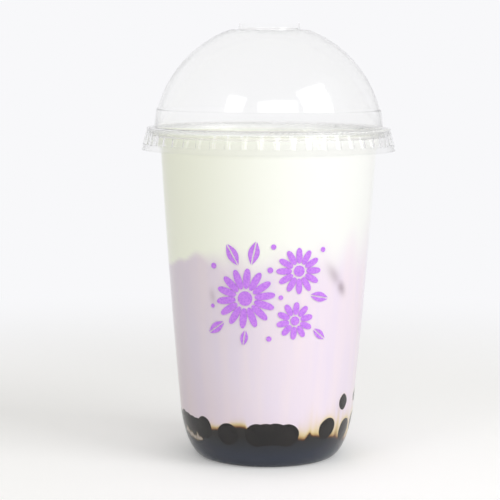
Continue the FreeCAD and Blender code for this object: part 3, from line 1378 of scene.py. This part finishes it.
@dataclass
class DrinkFroth:
    """Half bubbles scattered on the cream, thickest along the wall."""

    layers: DrinkLayers
    finish: bpy.types.Material
    count: int = 260
    segments: int = 12
    rings: int = 8
    # A bubble keeps what is above this height, as a share of its radius, and is then this tall a
    # share of a round one
    cut_height: float = -0.4
    squash: float = 0.6
    # A bubble's radius in mm is a draw from this range to this power
    sizes: Pair = (0.35, 1.3)
    size_power: float = 1.6
    gap: float = 0.3 * MM
    # How far in from the wall bubbles reach, as a share, and how thick they lie along it
    spread: float = 0.9
    crowding: float = 2.6
    crease: float = 60.0
    seed: int = 3

    def build(self) -> None:
        """Make one bubble, scatter its copies and join them."""
        draw = random.Random(self.seed)
        deselect_all()
        bpy.ops.mesh.primitive_uv_sphere_add(segments=self.segments, ring_count=self.rings, radius=1.0)
        start = cut(bpy.context.active_object, Vector((0, 0, self.cut_height)), Vector((0, 0, 1)))
        level = self.layers.level
        rim = self.layers.cup.radius_at(level, self.layers.bite)
        domes = []
        for _ in range(self.count):
            size = draw.uniform(*self.sizes) ** self.size_power * MM
            out = (rim - size - self.gap) * (1 - self.spread * draw.random() ** self.crowding)
            turn = draw.uniform(0, 2 * math.pi)
            dome = copied(start, "bubble")
            spot = Vector((out * math.cos(turn), out * math.sin(turn), level))
            for vert in dome.data.vertices:
                vert.co = vert.co * Vector((size, size, size * self.squash)) + spot
            domes.append(dome)
        remove(start)
        froth = joined(domes, "froth")
        smooth(froth, self.crease)
        hand_over(froth, self.finish, "cream")


@dataclass
class MilkStreak:
    """Milk that has run down over the pearls at the left of the foot."""

    cup: CupForm
    finish: bpy.types.Material
    inset: float = 0.08 * MM
    thickness: float = 0.04 * MM
    waviness: float = 0.25 * MM
    wave_scale: float = 900.0
    cuts: tuple[int, int] = (90, 12)
    # How much narrower the edge is at the run's two ends than along its sides
    end_sharpness: float = 6.0
    # Browner patches: how strong they are, and how often they repeat along and across the run
    patch: float = 0.5
    patch_scale: Pair = (5.0, 0.9)
    # Bearing in degrees, and the heights of the lower and upper edge there in mm
    edges: tuple[tuple[float, float, float], ...] = (
        (-163.0, 11.4, 11.6), (-160.2, 10.2, 13.6), (-157.4, 9.6, 13.2), (-155.2, 9.0, 12.0),
        (-152.0, 9.0, 12.2), (-149.4, 8.7, 10.8), (-146.4, 8.3, 11.0), (-144.8, 8.4, 12.8),
        (-143.2, 8.7, 11.0), (-140.8, 9.1, 10.7), (-138.6, 9.7, 9.9))

    def build(self) -> None:
        """Draw the run flat between its edges and lay it on the wall."""
        deselect_all()
        bpy.ops.mesh.primitive_grid_add(x_subdivisions=self.cuts[0], y_subdivisions=self.cuts[1], size=2.0)
        piece = bpy.context.active_object
        piece.name = "milk_streak"
        paint(piece, "edge", self.edge_at)
        first, last = self.edges[0][0], self.edges[-1][0]
        for vert in piece.data.vertices:
            bearing = first + (last - first) * (vert.co.x + 1) / 2
            low, high = along(self.edges, bearing)
            height = low + (high - low) * (vert.co.y + 1) / 2
            vert.co = Vector((math.radians(bearing - FRONT) * self.cup.radius_at(height * MM, 0),
                              height * MM, 0))
            shift = noise.noise_vector(vert.co * self.wave_scale) * self.waviness
            vert.co += Vector((shift.x, shift.y, 0))
        wrapped(piece, self.cup, 0.0, self.inset)
        filmed(piece, self.thickness)
        hand_over(piece, self.finish, "taro_milk")

    def edge_at(self, spot: Vector) -> float:
        """How near its edge a spot of the flat square lies, patchily, where 1 is on the edge.

        Args:
            spot: The spot.

        Returns:
            The nearness.
        """
        inside = max(abs(spot.y), 1 - self.end_sharpness * (1 - abs(spot.x)))
        cloud = noise.noise(Vector((spot.x * self.patch_scale[0], spot.y * self.patch_scale[1], 4)))
        return min(inside + self.patch * (0.5 + cloud) * (1 - inside), 1.0)


# ---- The print on the cup ----------------------------------------------------------------

class Motif(Enum):
    """Kinds of shape in the printed posy."""

    DAISY = "daisy"
    LEAF = "leaf"
    DOT = "dot"


@dataclass(frozen=True)
class PosyPart:
    """One motif: its kind, its middle and size in mm, its turn in degrees, and its petals."""

    kind: Motif
    x: float
    y: float
    size: float
    turn: float = 0.0
    petals: int = 0

    @property
    def middle(self) -> Pair:
        """The motif's middle in metres."""
        return self.x * MM, self.y * MM


POSY = (
    PosyPart(Motif.DAISY, -8.5, -2.5, 11.5, 8.0, 14),
    PosyPart(Motif.DAISY, 12.0, 8.0, 8.8, 0.0, 12),
    PosyPart(Motif.DAISY, 10.5, -11.0, 7.2, 12.0, 10),
    PosyPart(Motif.LEAF, -13.5, 14.0, 9.5, 120.0),
    PosyPart(Motif.LEAF, -5.2, 14.8, 9.5, 78.0),
    PosyPart(Motif.LEAF, -20.2, -14.2, 8.5, 215.0),
    PosyPart(Motif.LEAF, -8.8, -17.6, 6.5, 262.0),
    PosyPart(Motif.LEAF, 20.5, -2.2, 8.5, -12.0),
    PosyPart(Motif.LEAF, 20.6, -16.6, 7.0, -40.0),
    PosyPart(Motif.DOT, 1.0, 8.4, 1.1),
    PosyPart(Motif.DOT, 2.2, 17.2, 1.0),
    PosyPart(Motif.DOT, 21.8, 15.8, 1.0),
    PosyPart(Motif.DOT, -21.3, 9.4, 1.1),
    PosyPart(Motif.DOT, 5.0, -2.0, 0.9),
    PosyPart(Motif.DOT, 0.6, -17.8, 1.0),
    PosyPart(Motif.DOT, -21.8, -6.0, 0.8),
)


@dataclass
class CupPrint:
    """A posy of daisies and leaves printed on the front of the cup."""

    cup: CupForm
    finish: bpy.types.Material
    middle: float = 69.5 * MM
    proud: float = 0.04 * MM
    thickness: float = 0.06 * MM
    midrib: float = 0.32 * MM
    # Shares of a daisy's size: half a petal's length, the radius at which petals fill a share of
    # the circle, that share, and the radius of the button
    petal: float = 0.34
    petal_ring: float = 0.62
    petal_fill: float = 0.86
    button: float = 0.24
    # The share of its width that a petal gains at its ends, and that a leaf loses there
    petal_flare: float = 0.1875
    leaf_point: float = 0.75
    # A leaf's width as a share of its length
    leaf_width: float = 0.45

    def build(self) -> None:
        """Draw every motif flat, then lay the whole print round the cup."""
        shapes = []
        for part in POSY:
            if part.kind is Motif.DAISY:
                shapes += self.daisy(part)
            elif part.kind is Motif.LEAF:
                shapes += self.leaf(part)
            else:
                shapes.append(blot(part.size * MM, part.size * MM, part.middle, part.turn))
        piece = joined(shapes, "cup_print")
        wrapped(piece, self.cup, self.middle, -self.proud)
        filmed(piece, self.thickness)
        hand_over(piece, self.finish, "taro_milk")

    def daisy(self, part: PosyPart) -> list[Piece]:
        """A ring of petals round a button, with a bare gap between them.

        Args:
            part: The motif.

        Returns:
            Its petals and its button.
        """
        size = part.size * MM
        petal = self.petal * size
        width = self.petal_fill * math.pi * self.petal_ring * size / part.petals
        button = self.button * size
        shapes = [blot(petal, width, part.middle, part.turn + 360 * i / part.petals, size - petal,
                       -self.petal_flare) for i in range(part.petals)]
        return shapes + [blot(button, button, part.middle, part.turn)]

    def leaf(self, part: PosyPart) -> list[Piece]:
        """A pointed leaf with its midrib left bare.

        Args:
            part: The motif.

        Returns:
            Its two halves.
        """
        half = part.size / 2 * MM
        angle = math.radians(part.turn)
        halves = []
        for side in (-1, 1):
            across = Vector((-math.sin(angle), math.cos(angle), 0)) * side
            rib = Vector((*part.middle, 0)) + across * self.midrib
            whole = blot(half, self.leaf_width * half, part.middle, part.turn, 0.0, self.leaf_point)
            halves.append(cut(whole, rib, across, shut=False))
        return halves


# ---- Studio ------------------------------------------------------------------------------

@dataclass(frozen=True)
class Lamp:
    """A soft lamp like a window that looks at the cup.

    Its bearing about the cup and its elevation are in degrees. Its distance from the cup and its
    width and height are in metres, and its power in watts.
    """

    name: str
    bearing: float
    elevation: float
    distance: float
    size: Pair
    watts: float
    tint: Colour = WHITE

    def hang(self, target: Vector) -> None:
        """Put the lamp in its place and turn it to the target.

        Args:
            target: What it shines at.
        """
        lamp = bpy.data.lights.new(self.name, "AREA")
        lamp.shape = "RECTANGLE"
        lamp.size, lamp.size_y = self.size
        lamp.energy = self.watts
        lamp.color = self.tint
        holder = bpy.data.objects.new(self.name, lamp)
        bpy.context.scene.collection.objects.link(holder)
        turn = math.radians(self.bearing)
        rise = math.radians(self.elevation)
        out = self.distance * math.cos(rise)
        holder.location = target + Vector((out * math.cos(turn), out * math.sin(turn),
                                           self.distance * math.sin(rise)))
        holder.rotation_euler = (target - holder.location).to_track_quat("-Z", "Y").to_euler()


LAMPS = (
    Lamp("key", -34.0, 32.0, 1.05, (0.55, 0.60), 4.4, (0.97, 0.985, 1.0)),
    Lamp("front", -80.0, 30.0, 1.15, (0.75, 0.40), 2.3),
    Lamp("left", -128.0, 30.0, 1.15, (0.36, 0.50), 1.2),
)


@dataclass(frozen=True)
class Studio:
    """Pale floor, soft lamps and the camera."""

    camera_distance: float = 0.700
    camera_height: float = 0.1581
    # The camera's angles in degrees, then its lens and sensor in mm
    pitch: float = 6.27
    yaw: float = 0.574
    roll: float = 0.30
    lens: float = 128.66
    sensor: float = 36.0
    lamp_target: float = 90.0 * MM
    white: Colour = (0.939, 0.939, 0.956)
    room: float = 0.56
    room_tint: Colour = (0.95, 0.94, 0.905)
    floor_radius: float = 1.2
    floor_sides: int = 96
    floor_colour: Colour = (0.872, 0.868, 0.864)
    floor_roughness: float = 0.7
    floor_specular: float = 0.2
    floor_lift: float = 0.18
    # How far from the cup the floor starts to turn into the white, and is all white
    floor_fade: Pair = (0.14, 0.48)
    bounces: int = 32
    glossy_bounces: int = 12

    def build(self) -> None:
        """Set up the camera, the lamps, the floor, the world and how light is followed."""
        scene = bpy.context.scene
        scene.view_settings.view_transform = "Standard"
        scene.cycles.max_bounces = self.bounces
        scene.cycles.glossy_bounces = self.glossy_bounces
        scene.cycles.transmission_bounces = self.bounces
        self.place_camera()
        self.light_world()
        for lamp in LAMPS:
            lamp.hang(Vector((0, 0, self.lamp_target)))
        self.lay_floor()

    def place_camera(self) -> None:
        """Stand the camera before the cup, a little above its middle."""
        camera = bpy.data.cameras.new("camera")
        camera.lens = self.lens
        camera.sensor_width = self.sensor
        holder = bpy.data.objects.new("camera", camera)
        bpy.context.scene.collection.objects.link(holder)
        turn = Euler((math.radians(90 - self.pitch), 0, math.radians(self.yaw))).to_matrix()
        turn = turn @ Matrix.Rotation(math.radians(self.roll), 3, "Z")
        spot = Matrix.Translation((0, -self.camera_distance, self.camera_height))
        holder.matrix_world = spot @ turn.to_4x4()
        bpy.context.scene.camera = holder

    def seen(self, tree: Tree) -> Socket:
        """A mask that is 1 for what the camera sees straight, through glass or by reflection.

        Args:
            tree: The nodes that use the mask.

        Returns:
            The socket that puts the mask out.
        """
        rays = tree.nodes.new("ShaderNodeLightPath")
        mask = rays.outputs["Is Camera Ray"]
        for output in ("Is Transmission Ray", "Is Glossy Ray"):
            mask = add_math(tree, "MAXIMUM", mask, rays.outputs[output])
        return mask

    def light_world(self) -> None:
        """White behind the object, and an even pale light on it."""
        world = bpy.data.worlds.new("studio")
        bpy.context.scene.world = world
        world.use_nodes = True
        tree = world.node_tree
        seen = self.seen(tree)
        feed_all(tree, tree.nodes["Background"], {
            "Color": add_mix(tree, seen, self.room_tint, self.white),
            "Strength": add_ramp(tree, seen, 0.0, 1.0, self.room, 1.0),
        })

    def lay_floor(self) -> None:
        """Lay a round pale floor that keeps the cup's shadow and fades out into the white."""
        deselect_all()
        bpy.ops.mesh.primitive_circle_add(vertices=self.floor_sides, radius=self.floor_radius,
                                          fill_type="NGON", location=(0, 0, 0))
        floor = bpy.context.active_object
        floor.name = "floor"
        material, shader, output = new_material("pale_floor")
        tree = material.node_tree
        seen = self.seen(tree)
        place = tree.nodes.new("ShaderNodeTexCoord")
        length = tree.nodes.new("ShaderNodeVectorMath")
        length.operation = "LENGTH"
        feed(tree, length.inputs[0], place.outputs["Object"])
        fade = add_ramp(tree, length.outputs["Value"], *self.floor_fade, soft=True)
        feed_all(tree, shader, {
            "Base Color": self.floor_colour,
            "Roughness": self.floor_roughness,
            "Specular IOR Level": self.floor_specular,
            "Emission Color": WHITE,
            "Emission Strength": add_math(tree, "MULTIPLY", seen, self.floor_lift),
        })
        glow = tree.nodes.new("ShaderNodeEmission")
        feed_all(tree, glow, {"Color": self.white})
        mix_shaders(tree, output, add_math(tree, "MULTIPLY", fade, seen), shader, glow)
        dress(floor, material)


# ---- Assembly ----------------------------------------------------------------------------

def main() -> None:
    """Build every piece in order, and report each one."""
    logging.basicConfig(level=logging.INFO, format="%(name)s: %(message)s")
    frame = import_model()
    Studio().build()
    cup_plastic = ClearPlastic("clear_cup_plastic", ior=1.42, film_roughness=0.20,
                               film_tint=(1.0, 1.0, 0.985))
    lid_plastic = ClearPlastic("clear_lid_plastic", edge_shade=(0.80, 0.80, 0.79), edge_shade_blend=0.2,
                               roughness=0.10, film_roughness=0.08)
    dress(frame["nodes"]["cup"], cup_plastic.build())
    dress(frame["nodes"]["dome_lid"], lid_plastic.build())
    cup = CupForm()
    layers = DrinkLayers(cup, Drink("drink_layers").build())
    layers.build()
    DrinkFroth(layers, Froth("milk_froth").build()).build()
    Tapiocas(cup, Tapioca("tapioca").build()).build()
    MilkStreak(cup, StreakedMilk("streaked_milk").build()).build()
    CupPrint(cup, PrintInk("purple_ink").build()).build()


if __name__ == "__main__":
    main()
